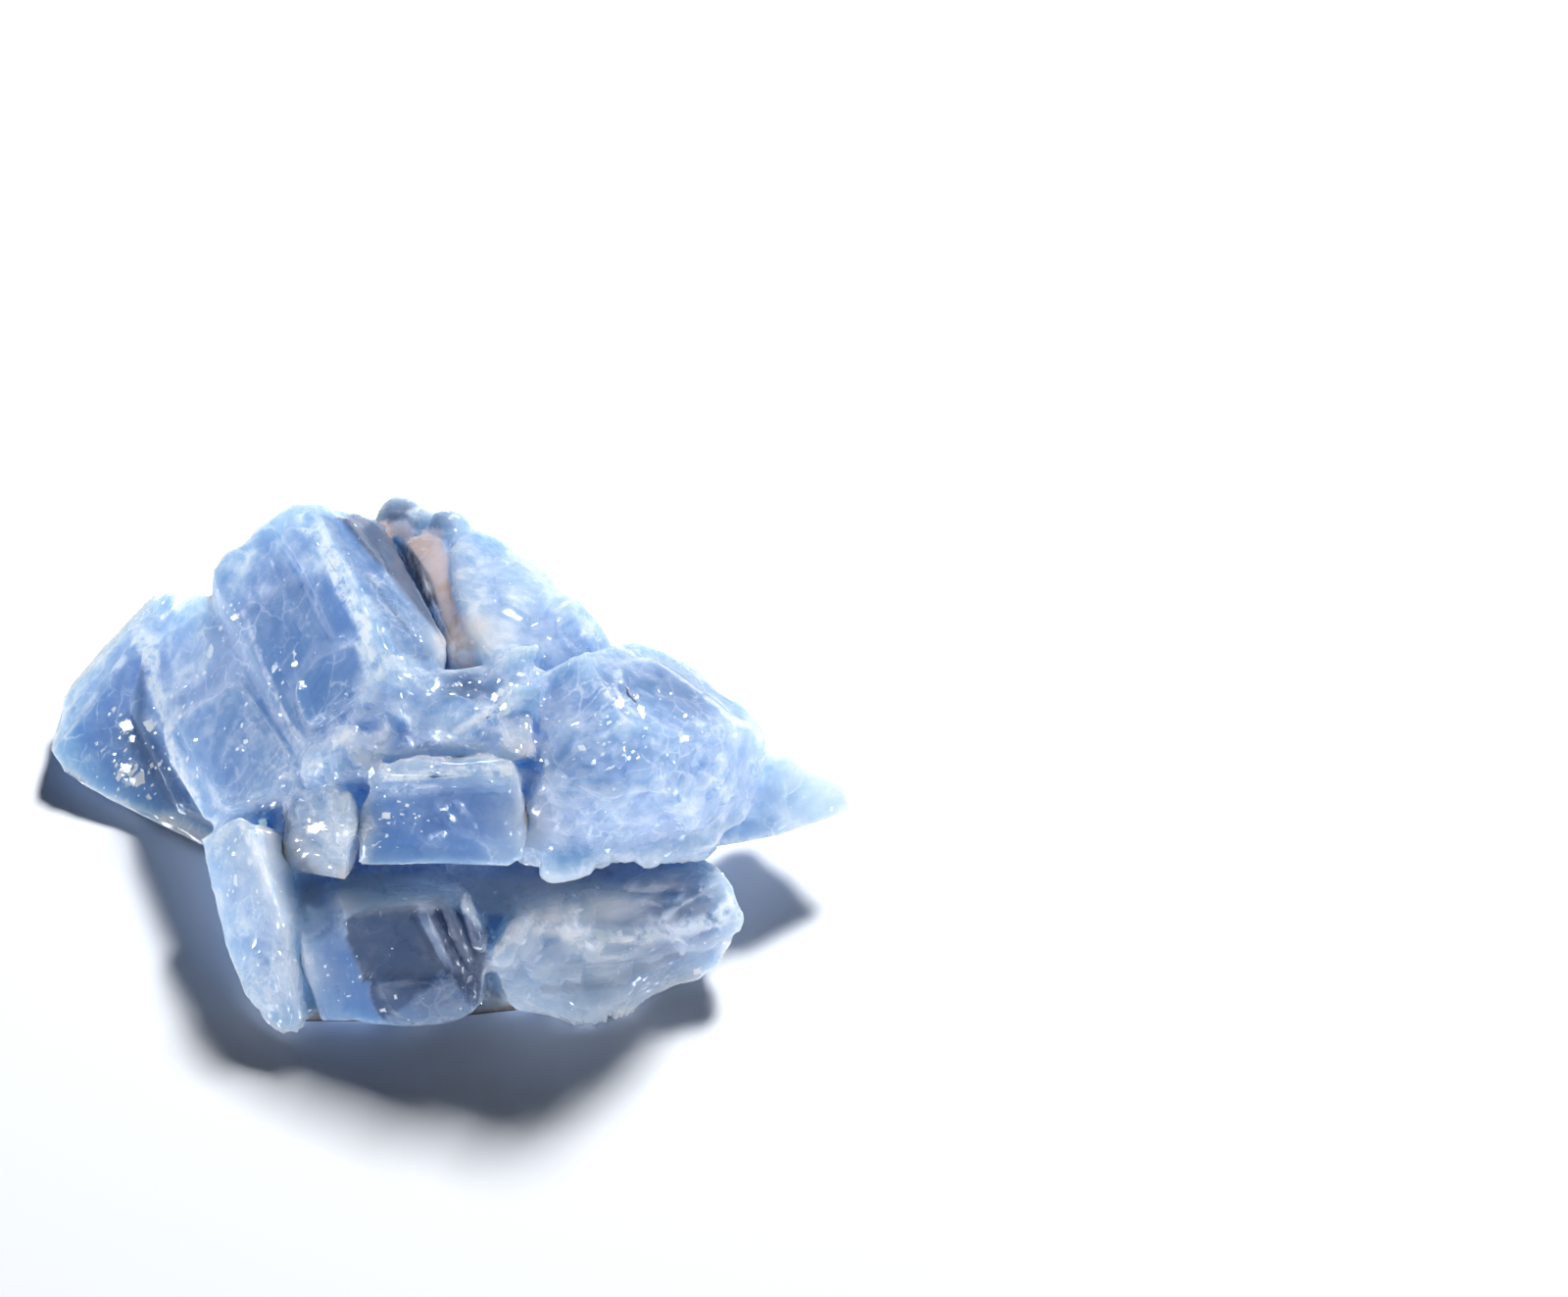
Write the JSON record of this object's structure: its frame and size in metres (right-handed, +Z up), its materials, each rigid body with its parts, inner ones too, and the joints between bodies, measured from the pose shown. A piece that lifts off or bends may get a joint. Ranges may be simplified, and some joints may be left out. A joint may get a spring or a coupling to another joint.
{
  "type": "rough blue calcite",
  "caption": "Rough piece of blue calcite: a ridge with flat cleavage faces, a blunt lump, ledges and pointed ends, resting on a flat base.",
  "frame": {"origin": "on the flat base that the stone rests on, under the middle of the stone", "axes": "+X along the stone from its left tip to its right tip, +Y to its back, +Z up"},
  "size_m": [0.0701, 0.047, 0.0273],
  "materials": {
    "calcite": "glassy on cleavage faces, rough on broken edges"
  },
  "bodies": {
    "root": {"calcite_stone": "calcite"}
  },
  "joints": []
}
